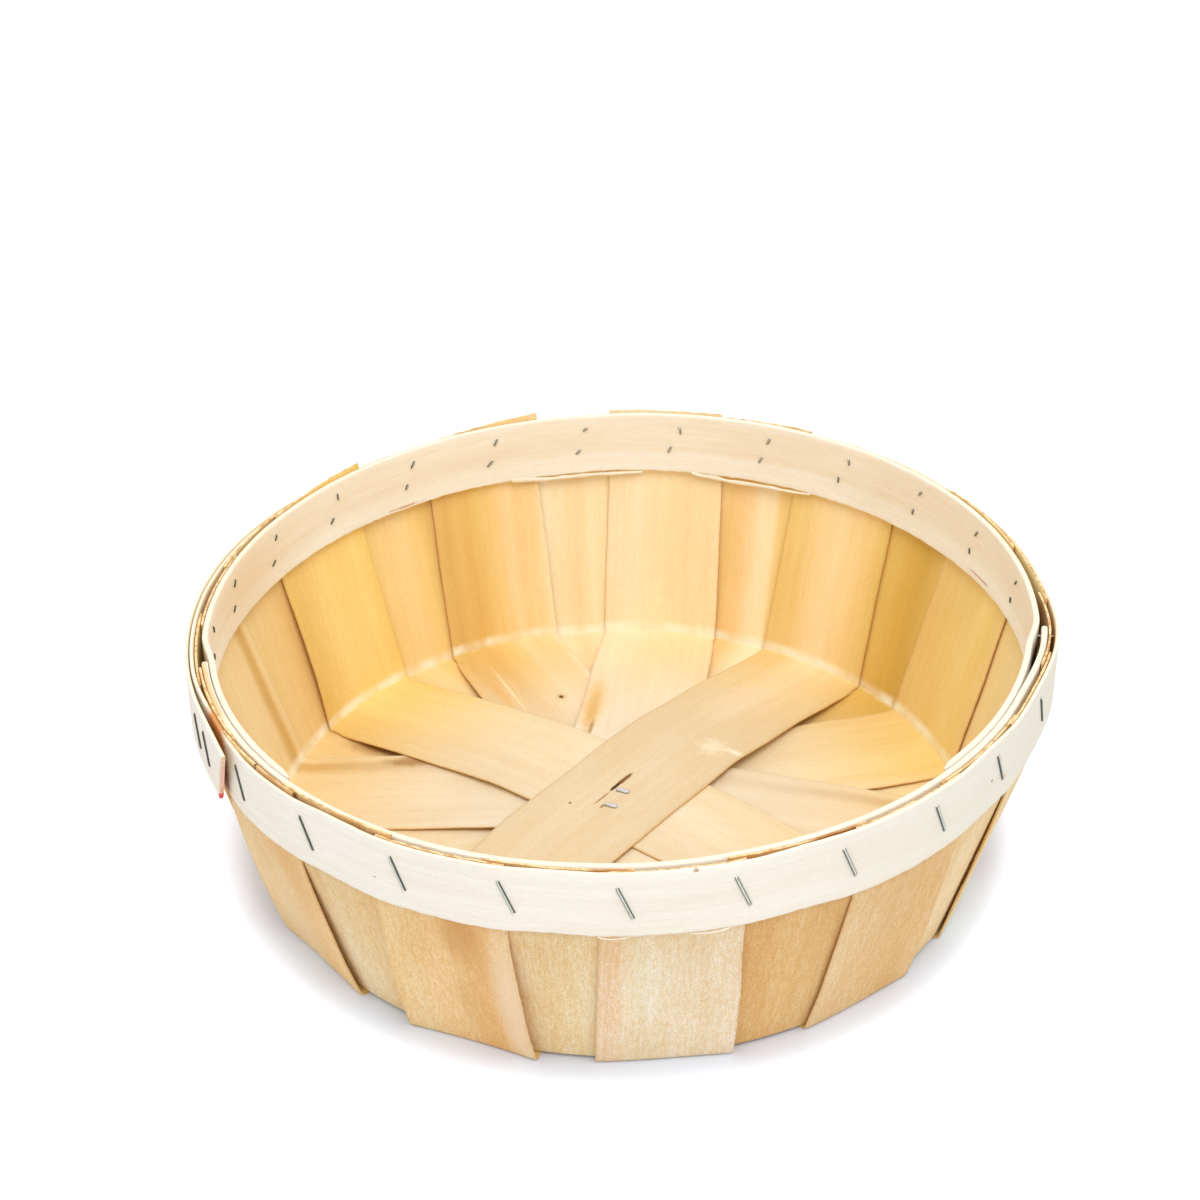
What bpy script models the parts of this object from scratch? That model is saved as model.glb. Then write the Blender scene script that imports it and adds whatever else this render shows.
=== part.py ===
"""Round berry basket.

Two webs of thin wooden splints cross under one another at the middle of the floor and
turn up as the wall. Inside and outside bands clamp their ends at the rim, and wire
staples go through bands and splints. One more staple holds the crossing in the floor.

Heights run up from the table. Azimuths run counterclockwise from +X, seen from above.
"""

import math

import bmesh
import bpy
from mathutils import Matrix, Vector

mm = 0.001
degree = math.pi / 180.0

# Rim
rim_inner_radius = 146.0 * mm
rim_height = 96.0 * mm
rim_lean = 0.0195  # rise of the rim per length along +X: the basket stands a little askew
inner_band_width = 26.4 * mm
inner_band_thickness = 2.2 * mm
outer_band_width = 25.0 * mm
outer_band_thickness = 1.5 * mm
band_facet = 3.75 * degree

# Inside band, a long strip round the back and a short one round the front, lapped twice
back_strip_start = -44.5 * degree
back_strip_end = 222.5 * degree
front_strip_start = 191.5 * degree
front_strip_end = 352.5 * degree
right_step_start = -5.0 * degree
left_step_start = 180.0 * degree
inner_step_run = 11.0 * degree

# Outside band, one strip of a turn and a lap, its free end springing off straight
outer_band_start = 150.0 * degree
outer_band_end = 573.5 * degree
outer_step_run = 12.0 * degree
free_end_run = 10.5 * degree
free_end_slant = 4.0 * degree  # how much further round its top corner reaches

# Bulge where the front strip's end pushes the splints and the outside band out
bulge_height = 2.6 * mm
bulge_azimuth = -8.5 * degree
bulge_spread = 17.0 * degree

# Splints
splints_per_web = 6
inner_splint_width = 47.0 * mm
outer_splint_width = 45.5 * mm
splint_thickness = 0.8 * mm
splint_facets_across = 4
base_radius = 131.0 * mm
corner_radius = 2.5 * mm
corner_steps = 3
wall_steps = 3
inner_web_azimuth = 22.0 * degree
outer_web_azimuth = 7.5 * degree
knee_drop = 2.5 * mm  # the wall turns upright this far under the inside band

# Floor crossing: the splints lie piled in the middle and run down to the foot ring, which
# stands on the table, less steeply as far as the shoulder, where shoulder_share of their
# height is left
crossing_flat = 41.0 * mm
shoulder_run = 33.0 * mm
foot_width = 10.0 * mm
shoulder_share = 0.46

# Place of each splint in its web's pile, from the lowest, in order of azimuth
inner_pile_order = (0, 5, 3, 1, 4, 2)
outer_pile_order = (4, 1, 3, 5, 0, 2)

# How far each splint is laid off its even place, as shares of the spacing
inner_stray_shares = (0.0, 0.005, 0.012, -0.005, 0.018, 0.01)
outer_stray_shares = (0.0, 0.0, 0.0, -0.05, 0.01, 0.01)

# How far the outer splints' long edges stand off the wall, as shares of edge_flare: for
# each splint the edge at the lower azimuth and the one at the higher azimuth, at both ends
edge_flare = 3.0 * mm
outer_flare_shares = (
    (0.5, 0.5), (1.0, 0.6), (0.9, 1.0), (0.35, 0.7), (0.3, 0.6), (0.6, 0.5),
)

# Splint ends above the bands, as shares of end_rise: for each splint its far end and its
# near end, each with the corner at the lower azimuth and the one at the higher azimuth
end_rise = 2.4 * mm
inner_end_shares = (
    ((0.2, 0.1), (-0.4, -0.3)),
    ((-0.3, -0.2), (-0.3, -0.4)),
    ((0.45, 0.3), (-0.2, -0.4)),
    ((0.95, 0.35), (-0.3, -0.2)),
    ((1.0, 0.3), (-0.4, -0.5)),
    ((-0.2, -0.3), (0.1, -0.2)),
)
outer_end_shares = (
    ((0.5, 0.2), (-0.2, -0.3)),
    ((-0.2, -0.3), (-0.5, -0.3)),
    ((0.1, -0.2), (-0.2, -0.1)),
    ((-0.3, -0.2), (-0.3, -0.2)),
    ((-0.1, -0.2), (-0.2, -0.4)),
    ((-0.2, -0.1), (-0.3, -0.2)),
)

# Staples
piece_gap = 0.3 * mm
wire_diameter = 1.0 * mm
wire_bend = 0.5 * mm
staple_crown = 12.7 * mm
staple_drop = 11.4 * mm  # middle of the crown under the rim
staple_slant = 22.0 * degree  # crown off upright, its top at the lower azimuth
rim_clinch = 2.8 * mm
staple_count = 25
first_staple_azimuth = 8.5 * degree
lap_staple_azimuth = 205.3 * degree

# How far each rim staple was driven off its even place, as shares of the spacing
staple_stray_shares = (
    0.0, 0.01, -0.01, 0.02, -0.01, 0.03, 0.06, 0.08, 0.08, 0.12, 0.12, 0.05, -0.07,
    0.37, 0.29, 0.27, 0.26, 0.22, 0.19, 0.15, 0.10, 0.08, 0.0, -0.02, 0.0,
)

floor_staple_crown = 10.0 * mm
floor_staple_shift = 5.7 * mm
floor_staple_shift_azimuth = 231.0 * degree
floor_staple_azimuth = 63.0 * degree
floor_clinch = 4.9 * mm
floor_clinch_azimuth = -23.0 * degree
cutter_overrun = 2.0 * mm

# Sizes that follow
pitch = splint_thickness + piece_gap
inner_web_radius = rim_inner_radius + inner_band_thickness + piece_gap + splint_thickness
outer_web_radius = inner_web_radius + pitch
outer_band_radius = outer_web_radius + piece_gap
inner_step = inner_band_thickness + piece_gap
outer_step = outer_band_thickness + piece_gap
knee_height = rim_height - inner_band_width - knee_drop
wall_lean = math.atan2(outer_web_radius - base_radius, knee_height)
crossing_foot = base_radius - foot_width
crossing_shoulder = crossing_foot - shoulder_run
crossing_lift = wire_diameter + 2.0 * piece_gap
staple_height = rim_height - staple_drop
wire_radius = wire_diameter / 2.0
full_turn = 2.0 * math.pi
splint_spacing = math.pi / splints_per_web
staple_spacing = full_turn / staple_count

# Colours: red, green, blue, metallic, roughness
splint_inside = (0.72, 0.48, 0.20, 0.0, 0.6)
splint_outside = (0.69, 0.46, 0.23, 0.0, 0.7)
inner_band_wood = (0.82, 0.66, 0.41, 0.0, 0.6)
outer_band_wood = (0.89, 0.81, 0.66, 0.0, 0.65)
staple_steel = (0.30, 0.31, 0.31, 1.0, 0.4)


def eased(share):
    """Goes from 0 to 1 with level ends."""
    x = min(1.0, max(0.0, share))
    return x * x * (3.0 - 2.0 * x)


def bulge(azimuth):
    """Outward push at an azimuth: one raised cosine wave about bulge_azimuth."""
    off = (azimuth - bulge_azimuth + math.pi) % full_turn - math.pi
    if abs(off) >= bulge_spread:
        return 0.0
    return bulge_height * (1.0 + math.cos(math.pi * off / bulge_spread)) / 2.0


def placed(radius, azimuth, height):
    """Point of the leaning basket at a radius, an azimuth and an upright height."""
    x = radius * math.cos(azimuth)
    y = radius * math.sin(azimuth)
    return Vector((x, y, height * (1.0 + rim_lean * x / rim_height)))


def back_strip_radius(azimuth):
    """Inner face of the back strip, stepped in under the front strip at both laps."""
    right = eased((right_step_start - azimuth) / inner_step_run)
    left = eased((azimuth - left_step_start) / inner_step_run)
    return rim_inner_radius - inner_step * (right + left)


def front_strip_radius(azimuth):
    """Inner face of the front strip, pushed out at its free end."""
    return rim_inner_radius + bulge(azimuth)


def outer_strip_radius(azimuth):
    """Inner face of the outside band along its turn, its lap and its straight free end."""
    lap_start = outer_band_start + full_turn
    step = outer_step * eased((azimuth - lap_start + outer_step_run) / outer_step_run)
    radius = outer_band_radius + bulge(azimuth) + step
    off = max(0.0, azimuth - outer_band_end + free_end_run)
    return radius / math.cos(off)


def innermost_face(azimuth):
    """Radius of the rim's innermost face at an azimuth within one turn."""
    turned = azimuth if azimuth <= back_strip_end else azimuth - full_turn
    if turned >= back_strip_start:
        return back_strip_radius(turned)
    return front_strip_radius(azimuth)


def outermost_face(azimuth):
    """Radius of the rim's outermost face at an azimuth within one turn."""
    last = outer_band_end - free_end_slant
    turned = azimuth + full_turn if azimuth + full_turn <= last else azimuth
    return outer_strip_radius(turned) + outer_band_thickness


def web_stations(inset, level):
    """Half a splint's outer face as (distance or radius, height, is on the wall) steps."""
    hill = level * pitch + crossing_lift
    steps = [
        (0.0, inset + hill, False),
        (crossing_flat, inset + hill, False),
        (crossing_shoulder, inset + hill * shoulder_share, False),
        (crossing_foot, inset, False),
    ]
    hub_radius = base_radius - corner_radius * (1.0 - math.sin(wall_lean)) / math.cos(wall_lean)
    bend = corner_radius - inset
    for step in range(corner_steps + 1):
        turn = -math.pi / 2.0 + (math.pi / 2.0 - wall_lean) * step / corner_steps
        radius = hub_radius + bend * math.cos(turn)
        steps.append((radius, corner_radius + bend * math.sin(turn), True))
    knee_shift = inset * (1.0 / math.cos(wall_lean) - 1.0) / math.tan(wall_lean)
    low_radius, low_height, _ = steps[-1]
    for step in range(1, wall_steps + 1):
        share = step / wall_steps
        radius = low_radius + share * (outer_web_radius - inset - low_radius)
        steps.append((radius, low_height + share * (knee_height + knee_shift - low_height), True))
    steps.append((outer_web_radius - inset, rim_height, True))
    return steps


def flare(height, side, shares):
    """How far the wall stands off towards a splint's edges, bowed from foot to knee."""
    up = min(1.0, height / knee_height)
    low, high = shares
    share = high if side > 0.0 else low
    return edge_flare * share * side**2 * (1.0 - up) * (1.0 + 2.0 * up)


def splint_point(steps, width, station, side, azimuth, rises, flares):
    """Point of a splint's outer face: station counts from the middle, side from -1 to 1."""
    distance, height, on_wall = steps[abs(station)]
    heading = azimuth if station >= 0 else azimuth + math.pi
    offset = side * width / 2.0
    if not on_wall:
        ahead = Vector((math.cos(heading), math.sin(heading), 0.0))
        left = Vector((-ahead.y, ahead.x, 0.0))
        point = distance * ahead + (offset if station >= 0 else -offset) * left
        return Vector((point.x, point.y, height))
    edge_radius = next(step[0] for step in steps if step[2])
    swing = math.asin(offset / edge_radius) * edge_radius / distance
    around = side if station >= 0 else -side
    turned = heading + (swing if station >= 0 else -swing)
    if abs(station) == len(steps) - 1:
        low, high = rises[0] if station >= 0 else rises[1]
        height += end_rise * (low + (high - low) * (1.0 + around) / 2.0)
    push = bulge(turned) * min(1.0, height / knee_height) + flare(height, around, flares)
    return placed(distance + push, turned, height)


def add_material(name, look):
    """Makes a plain finish of one colour."""
    material = bpy.data.materials.new(name)
    material.use_nodes = True
    shader = material.node_tree.nodes["Principled BSDF"]
    shader.inputs["Base Color"].default_value = (*look[:3], 1.0)
    shader.inputs["Metallic"].default_value = look[3]
    shader.inputs["Roughness"].default_value = look[4]
    material.diffuse_color = (*look[:3], 1.0)
    return material


def add_sheet(name, grid, place, thickness, look):
    """Turns a flat grid into a bent sheet: place gives each grid point's position."""
    mesh = bpy.data.meshes.new(name)
    bm = bmesh.new()
    bmesh.ops.create_grid(bm, x_segments=grid[0], y_segments=grid[1], size=1.0)
    for vert in bm.verts:
        vert.co = place(vert.co.x, vert.co.y)
    bm.to_mesh(mesh)
    bm.free()
    sheet = bpy.data.objects.new(name, mesh)
    basket.objects.link(sheet)
    sheet.parent = root
    mesh.materials.append(add_material(name, look))
    shell = sheet.modifiers.new("thickness", "SOLIDIFY")
    shell.thickness = thickness
    shell.offset = 1.0
    shell.use_even_offset = True
    cut = sheet.modifiers.new("staple_holes", "BOOLEAN")
    cut.operation = "DIFFERENCE"
    cut.solver = "EXACT"
    cut.object = leg_holes
    return sheet


def make_splint(name, azimuth, width, inset, level, rises, flares, look):
    """One splint: across the floor, up at both ends and in between the bands."""
    steps = web_stations(inset, level)
    half = len(steps) - 1

    def place(x, y):
        return splint_point(steps, width, round(x * half), y, azimuth, rises, flares)

    return add_sheet(name, (2 * half, splint_facets_across), place, splint_thickness, look)


def make_webs():
    """Both webs, each splint on its own level of the pile in the floor."""
    for number in range(splints_per_web):
        azimuth = outer_web_azimuth + (number + outer_stray_shares[number]) * splint_spacing
        level = outer_pile_order[number]
        make_splint(f"outer_splint_{number + 1}", azimuth, outer_splint_width, 0.0, level,
                    outer_end_shares[number], outer_flare_shares[number], splint_outside)
    for number in range(splints_per_web):
        azimuth = inner_web_azimuth + (number + inner_stray_shares[number]) * splint_spacing
        level = inner_pile_order[number] + splints_per_web - 1
        make_splint(f"inner_splint_{number + 1}", azimuth, inner_splint_width, pitch, level,
                    inner_end_shares[number], (0.0, 0.0), splint_inside)


def make_band(name, start, end, slant, face_radius, width, thickness, look):
    """A strip on edge round the rim, its inner face at face_radius of the azimuth."""
    facets = round((end - start) / band_facet)

    def place(x, y):
        height = rim_height - width * (1.0 - y) / 2.0
        azimuth = start + (end - start) * (1.0 + x) / 2.0
        last = max(0.0, 1.0 - (end - azimuth) / free_end_run)
        azimuth -= slant * last * (1.0 - y) / 2.0
        return placed(face_radius(azimuth), azimuth, height)

    return add_sheet(name, (facets, 1), place, thickness, look)


def make_bands():
    """The two strips of the inside band and the outside band."""
    make_band("inner_band_back", back_strip_start, back_strip_end, 0.0, back_strip_radius,
              inner_band_width, inner_band_thickness, inner_band_wood)
    make_band("inner_band_front", front_strip_start, front_strip_end, 0.0, front_strip_radius,
              inner_band_width, inner_band_thickness, inner_band_wood)
    make_band("outer_band", outer_band_start, outer_band_end, free_end_slant,
              outer_strip_radius, outer_band_width, outer_band_thickness, outer_band_wood)


def rim_staple_azimuths():
    """Middle azimuth of every rim staple, the spare one at the lap last."""
    azimuths = []
    for number in range(staple_count):
        places = number + staple_stray_shares[number]
        azimuths.append(first_staple_azimuth + places * staple_spacing)
    azimuths.append(lap_staple_azimuth)
    return azimuths


def rim_legs(azimuth):
    """The outer and inner ends of a rim staple's two legs, upper leg first."""
    swing = staple_crown * math.sin(staple_slant) / outer_band_radius / 2.0
    reach = staple_crown * math.cos(staple_slant) / 2.0
    legs = []
    for sign in (1.0, -1.0):
        at = azimuth - sign * swing
        height = staple_height + sign * reach
        outside = outermost_face(at) + piece_gap + wire_radius
        inside = innermost_face(at) - piece_gap - wire_radius
        legs.append((placed(outside, at, height), placed(inside, at, height)))
    return legs


def floor_legs():
    """The lower and upper ends of the floor staple's two legs."""
    along = Vector((math.cos(floor_staple_azimuth), math.sin(floor_staple_azimuth), 0.0))
    crown_height = wire_radius + piece_gap
    top_level = 2 * splints_per_web - 1
    pile_top = crossing_lift + top_level * pitch + splint_thickness
    top_height = pile_top + piece_gap + wire_radius
    shift_heading = (math.cos(floor_staple_shift_azimuth), math.sin(floor_staple_shift_azimuth))
    middle = floor_staple_shift * Vector((*shift_heading, 0.0))
    legs = []
    for sign in (1.0, -1.0):
        foot = middle + sign * floor_staple_crown / 2.0 * along
        low = Vector((foot.x, foot.y, crown_height))
        high = Vector((foot.x, foot.y, top_height))
        legs.append((low, high))
    return legs


def bent(points):
    """The points of a path with each of its corners cut off wire_bend before and after."""
    path = [points[0]]
    for before, corner, after in zip(points, points[1:], points[2:]):
        path.append(corner + wire_bend * (before - corner).normalized())
        path.append(corner + wire_bend * (after - corner).normalized())
    path.append(points[-1])
    return path


def add_wire(name, points):
    """A staple: round wire along the points, with filled ends."""
    curve = bpy.data.curves.new(name, "CURVE")
    curve.dimensions = "3D"
    curve.bevel_depth = wire_radius
    curve.bevel_resolution = 1
    curve.use_fill_caps = True
    spline = curve.splines.new("POLY")
    spline.points.add(len(points) - 1)
    for knot, point in zip(spline.points, points):
        knot.co = (*point, 1.0)
    curve.materials.append(add_material(name, staple_steel))
    wire = bpy.data.objects.new(name, curve)
    basket.objects.link(wire)
    wire.parent = root
    return wire


def make_rim_staple(number, azimuth):
    """A staple through the rim, its crown outside and its tips folded together inside."""
    upper, lower = rim_legs(azimuth)
    fold = rim_clinch * (lower[1] - upper[1]).normalized()
    points = [upper[1] + fold, upper[1], upper[0], lower[0], lower[1], lower[1] - fold]
    add_wire(f"rim_staple_{number:02d}", bent(points))


def make_floor_staple():
    """The staple up through the crossing, its tips folded over on the top splint."""
    first, second = floor_legs()
    heading = (math.cos(floor_clinch_azimuth), math.sin(floor_clinch_azimuth), 0.0)
    fold = floor_clinch * Vector(heading)
    points = [first[1] + fold, first[1], first[0], second[0], second[1], second[1] + fold]
    add_wire("floor_staple", bent(points))


def make_leg_holes():
    """Square cutters round every staple leg, a piece_gap wider than the wire all round."""
    side = wire_diameter + 2.0 * piece_gap
    legs = floor_legs()
    for azimuth in rim_staple_azimuths():
        legs.extend(rim_legs(azimuth))
    mesh = bpy.data.meshes.new("leg_holes")
    bm = bmesh.new()
    for start, end in legs:
        run = end - start
        turn = run.to_track_quat("X", "Z").to_matrix().to_4x4()
        size = Matrix.Diagonal((run.length + cutter_overrun, side, side, 1.0))
        middle = Matrix.Translation((start + end) / 2.0)
        bmesh.ops.create_cube(bm, size=1.0, matrix=middle @ turn @ size)
    bm.to_mesh(mesh)
    bm.free()
    holes = bpy.data.objects.new("leg_holes", mesh)
    holes.hide_render = True
    holes.display_type = "WIRE"
    cutters.objects.link(holes)
    return holes


for old in list(bpy.data.objects):
    bpy.data.objects.remove(old, do_unlink=True)

basket = bpy.data.collections.new("berry_basket")
cutters = bpy.data.collections.new("cutters")
bpy.context.scene.collection.children.link(basket)
bpy.context.scene.collection.children.link(cutters)
root = bpy.data.objects.new("basket_origin", None)
basket.objects.link(root)
leg_holes = make_leg_holes()

make_webs()
make_bands()
for number, azimuth in enumerate(rim_staple_azimuths(), start=1):
    make_rim_staple(number, azimuth)
make_floor_staple()
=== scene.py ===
import math

import bpy
import numpy as np
from mathutils import Matrix, Vector


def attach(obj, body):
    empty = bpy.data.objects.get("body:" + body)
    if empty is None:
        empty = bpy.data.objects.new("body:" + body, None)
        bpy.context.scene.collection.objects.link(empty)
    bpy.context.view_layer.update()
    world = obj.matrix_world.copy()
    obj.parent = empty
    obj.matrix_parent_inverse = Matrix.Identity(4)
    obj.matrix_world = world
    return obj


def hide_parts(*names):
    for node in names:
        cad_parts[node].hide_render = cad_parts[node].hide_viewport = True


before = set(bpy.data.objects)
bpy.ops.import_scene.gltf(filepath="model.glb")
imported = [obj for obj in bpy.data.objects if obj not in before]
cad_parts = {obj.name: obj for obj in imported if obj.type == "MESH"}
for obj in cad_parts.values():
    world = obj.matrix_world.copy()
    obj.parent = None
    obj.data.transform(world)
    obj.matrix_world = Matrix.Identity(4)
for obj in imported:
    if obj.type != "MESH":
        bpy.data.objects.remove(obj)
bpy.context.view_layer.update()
print("frame loaded,", len(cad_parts), "nodes")

mm = 0.001
turn = 2.0 * math.pi
sharpAngle = math.radians(38.0)
wobbleKnots = 4096

# The rim and the webs as the solids have them; lengths in metres, angles in degrees
rim = {
    "radius": 146.0 * mm, "height": 96.0 * mm, "lean": 0.0195,
    "bulge": 2.6 * mm, "bulgeAt": -8.5, "bulgeSpread": 17.0,
}
web = {
    "count": 6, "thickness": 0.8 * mm, "gap": 0.3 * mm, "base": 131.0 * mm, "corner": 2.5 * mm,
    "knee": 67.1 * mm, "flat": 41.0 * mm, "shoulder": 88.0 * mm, "foot": 121.0 * mm,
    "shoulderShare": 0.46, "lift": 1.6 * mm, "flare": 3.0 * mm, "rise": 2.4 * mm,
    "outerWidth": 45.5 * mm, "innerWidth": 47.0 * mm,
}
pitch = web["thickness"] + web["gap"]
innerBandThick = 2.2 * mm
outerBandThick = 1.5 * mm
innerWebRadius = rim["radius"] + innerBandThick + web["gap"] + web["thickness"]
outerWebRadius = innerWebRadius + pitch
outerBandRadius = outerWebRadius + web["gap"]
wallLean = math.atan2(outerWebRadius - web["base"], web["knee"])


def eased(x):
    # 0 to 1 with level ends: the square of x times 3 less 2 x
    x = np.clip(x, 0.0, 1.0)
    return x * x * (3.0 - 2.0 * x)


def wobble(x, step, seed):
    # smooth noise from -1 to 1: random values a step apart, eased from one to the next
    values = np.random.default_rng(seed).uniform(-1.0, 1.0, wobbleKnots)
    place = np.asarray(x) / step + wobbleKnots / 2
    low = np.floor(place).astype(int)
    return values[low] + (values[low + 1] - values[low]) * eased(place - low)


def wavy(x, waves, seed):
    # the sum of several wobbles, each given by its step and its size; their seeds count up
    return sum(size * wobble(x, step, seed + number) for number, (step, size) in enumerate(waves))


def bulge(azimuth):
    # one raised cosine wave of outward push where the front strip's end lies
    off = (azimuth - math.radians(rim["bulgeAt"]) + math.pi) % turn - math.pi
    spread = math.radians(rim["bulgeSpread"])
    wave = (1.0 + np.cos(math.pi * np.clip(off / spread, -1.0, 1.0))) / 2.0
    return rim["bulge"] * wave


def heading(angle):
    # the level unit vector that points to an azimuth
    return np.array([math.cos(angle), math.sin(angle), 0.0])


def placed(radius, azimuth, height):
    # polar to x, y, z, with heights growing towards +x because the basket stands askew
    x = radius * np.cos(azimuth)
    y = radius * np.sin(azimuth)
    z = height * (1.0 + rim["lean"] * x / rim["height"])
    return np.stack(np.broadcast_arrays(x, y, z), axis=-1)


def finishMesh(name, points, faces, corners):
    # turns a mesh whose signed volume, a sum of triple products, is negative inside out, then
    # stores it; corners is the grain coordinate of each face corner: along, across, kind of face
    a, b, c, d = (points[faces[:, number]] for number in range(4))
    volume = np.einsum("ij,ij->i", a, np.cross(b, c)).sum() + np.einsum("ij,ij->i", a, np.cross(c, d)).sum()
    if volume < 0.0:
        faces = faces[:, ::-1]
        corners = corners[:, ::-1]
    mesh = bpy.data.meshes.new(name)
    mesh.from_pydata(points.tolist(), [], faces.tolist())
    grain = mesh.attributes.new("grain", "FLOAT_VECTOR", "CORNER")
    grain.data.foreach_set("vector", corners.astype(np.float32).ravel())
    mesh.polygons.foreach_set("use_smooth", np.ones(len(faces), bool))
    mesh.set_sharp_from_angle(angle=sharpAngle)
    mesh.update()
    made = bpy.data.objects.new(name, mesh)
    bpy.context.scene.collection.objects.link(made)
    return made


insideFace, outsideFace, edgeFace, endFace = range(4)


def sheet(name, outer, inner, along, across):
    # closes two (n, m) grids of points into one thin body: both faces and four rims of quads;
    # along and across are the grain coordinate over the grid
    n, m = outer.shape[:2]
    points = np.concatenate([outer.reshape(-1, 3), inner.reshape(-1, 3)])
    top = np.arange(n * m).reshape(n, m)
    low = top + n * m
    u = np.tile(np.broadcast_to(along, (n, m)).ravel(), 2)
    v = np.tile(np.broadcast_to(across, (n, m)).ravel(), 2)

    def quads(p, q, r, s):
        return np.stack([p.ravel(), q.ravel(), r.ravel(), s.ravel()], axis=1)

    parts = [
        (quads(top[:-1, :-1], top[1:, :-1], top[1:, 1:], top[:-1, 1:]), outsideFace),
        (quads(low[:-1, :-1], low[:-1, 1:], low[1:, 1:], low[1:, :-1]), insideFace),
        (quads(top[:-1, 0], low[:-1, 0], low[1:, 0], top[1:, 0]), edgeFace),
        (quads(top[:-1, -1], top[1:, -1], low[1:, -1], low[:-1, -1]), edgeFace),
        (quads(top[0, :-1], top[0, 1:], low[0, 1:], low[0, :-1]), endFace),
        (quads(top[-1, :-1], low[-1, :-1], low[-1, 1:], top[-1, 1:]), endFace),
    ]
    faces = np.concatenate([part for part, kind in parts])
    kinds = np.concatenate([np.full(len(part), kind) for part, kind in parts])
    corners = np.stack([u[faces], v[faces], np.repeat(kinds[:, None], 4, axis=1)], axis=2)
    return finishMesh(name, points, faces, corners)


def thickened(face, thick, roundShares):
    # gives a face its thickness: the second face lies thick away along the surface normal, and
    # both draw together where roundShares falls under 1
    along = np.gradient(face, axis=0)
    across = np.gradient(face, axis=1)
    normal = np.cross(along, across)
    normal /= np.linalg.norm(normal, axis=2, keepdims=True)
    middle = face + normal * thick / 2.0
    half = normal * thick / 2.0 * roundShares
    return middle - half, middle + half


def swept(name, path, sideways, profile, scale):
    # a profile carried along a path: at each point its width lies along sideways and its
    # thickness along the cross product of that and the way ahead, both times scale; rings of
    # no size close the ends. The grain is the length so far and the place across, -1 to 1
    ahead = np.gradient(path, axis=0)
    ahead /= np.linalg.norm(ahead, axis=1, keepdims=True)
    third = np.cross(ahead, sideways)
    third /= np.linalg.norm(third, axis=1, keepdims=True)
    across = profile[None, :, 0, None] * sideways[:, None] + profile[None, :, 1, None] * third[:, None]
    points = path[:, None] + scale[:, None, None] * across
    points = np.concatenate([points[:1] * 0.0 + path[0], points, points[-1:] * 0.0 + path[-1]])
    length = np.concatenate([[0.0], np.cumsum(np.linalg.norm(np.diff(path, axis=0), axis=1))])
    length = np.concatenate([length[:1], length, length[-1:]])
    n, k = points.shape[:2]
    ring = np.arange(n * k).reshape(n, k)
    after = np.roll(ring, -1, axis=1)
    faces = np.stack([ring[:-1], ring[1:], after[1:], after[:-1]], axis=2).reshape(-1, 4)
    u = np.repeat(length, k)
    v = np.tile(profile[:, 0] / profile[:, 0].max(), n)
    corners = np.stack([u[faces], v[faces], np.zeros(faces.shape)], axis=2)
    return finishMesh(name, points.reshape(-1, 3), faces, corners)


class Signal:
    # a shader socket that takes part in sums: every operator adds one Math node

    def __init__(self, tree, socket):
        self.tree = tree
        self.socket = socket

    def math(self, operation, *others):
        inputs = {number: value for number, value in enumerate((self, *others))}
        return addNode(self.tree, "ShaderNodeMath", {"operation": operation}, inputs)

    def __add__(self, other):
        return self.math("ADD", other)

    def __sub__(self, other):
        return self.math("SUBTRACT", other)

    def __rsub__(self, other):
        return addNode(self.tree, "ShaderNodeMath", {"operation": "SUBTRACT"}, {0: other, 1: self})

    def __mul__(self, other):
        return self.math("MULTIPLY", other)

    def __truediv__(self, other):
        return self.math("DIVIDE", other)

    def __abs__(self):
        return self.math("ABSOLUTE")

    __radd__ = __add__
    __rmul__ = __mul__


def feed(node, inputs):
    # gives each socket its value, or links a signal to it
    for key, value in inputs.items():
        if isinstance(value, Signal):
            value.tree.links.new(value.socket, node.inputs[key])
        else:
            node.inputs[key].default_value = value


def addNode(tree, kind, settings, inputs, output=0):
    # any node: settings first, then the value or the link of each socket
    node = tree.nodes.new(kind)
    for key, value in settings.items():
        if key == "stops":
            ramp = node.color_ramp
            while len(ramp.elements) < len(value):
                ramp.elements.new(0.5)
            for element, (position, colour) in zip(ramp.elements, value):
                element.position = position
                element.color = colour
        else:
            setattr(node, key, value)
    feed(node, inputs)
    return Signal(tree, node.outputs[output])


def paint(red, green, blue, under=(1.0, 1.0, 1.0)):
    # a colour as seen on a screen, 0 to 255, as the linear values that shaders take; under is
    # the light that falls where it was seen, which is divided out
    def linear(x, light):
        x = x / 255.0
        return min(0.95, (x / 12.92 if x <= 0.04045 else ((x + 0.055) / 1.055) ** 2.4) / light)

    return (linear(red, under[0]), linear(green, under[1]), linear(blue, under[2]), 1.0)


def tones(under, *stops):
    # colour stops across a strip, each (position, red, green, blue) as seen under that light
    return [(position, paint(*colour, under)) for position, *colour in stops]


def mixed(tree, share, first, second, blend="MIX"):
    # the first colour with a share of the second, or of the blend of both, over it
    settings = {"data_type": "RGBA", "blend_type": blend, "clamp_factor": True}
    return addNode(tree, "ShaderNodeMix", settings, {0: share, 6: first, 7: second}, 2)


def noise(tree, place, detail=2.0, roughness=0.5):
    # cloudy noise from 0 to 1, one lump per unit of place
    inputs = {"Vector": place, "Scale": 1.0, "Detail": detail, "Roughness": roughness}
    return addNode(tree, "ShaderNodeTexNoise", {"noise_dimensions": "3D"}, inputs)


def vector(tree, x, y, z):
    # three numbers or signals as one vector
    return addNode(tree, "ShaderNodeCombineXYZ", {}, {0: x, 1: y, 2: z})


def stepped(signal, low, high):
    # 0 under low and 1 over high, eased between
    settings = {"interpolation_type": "SMOOTHSTEP", "clamp": True}
    inputs = {0: signal, 1: low, 2: high, 3: 0.0, 4: 1.0}
    return addNode(signal.tree, "ShaderNodeMapRange", settings, inputs)


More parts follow.
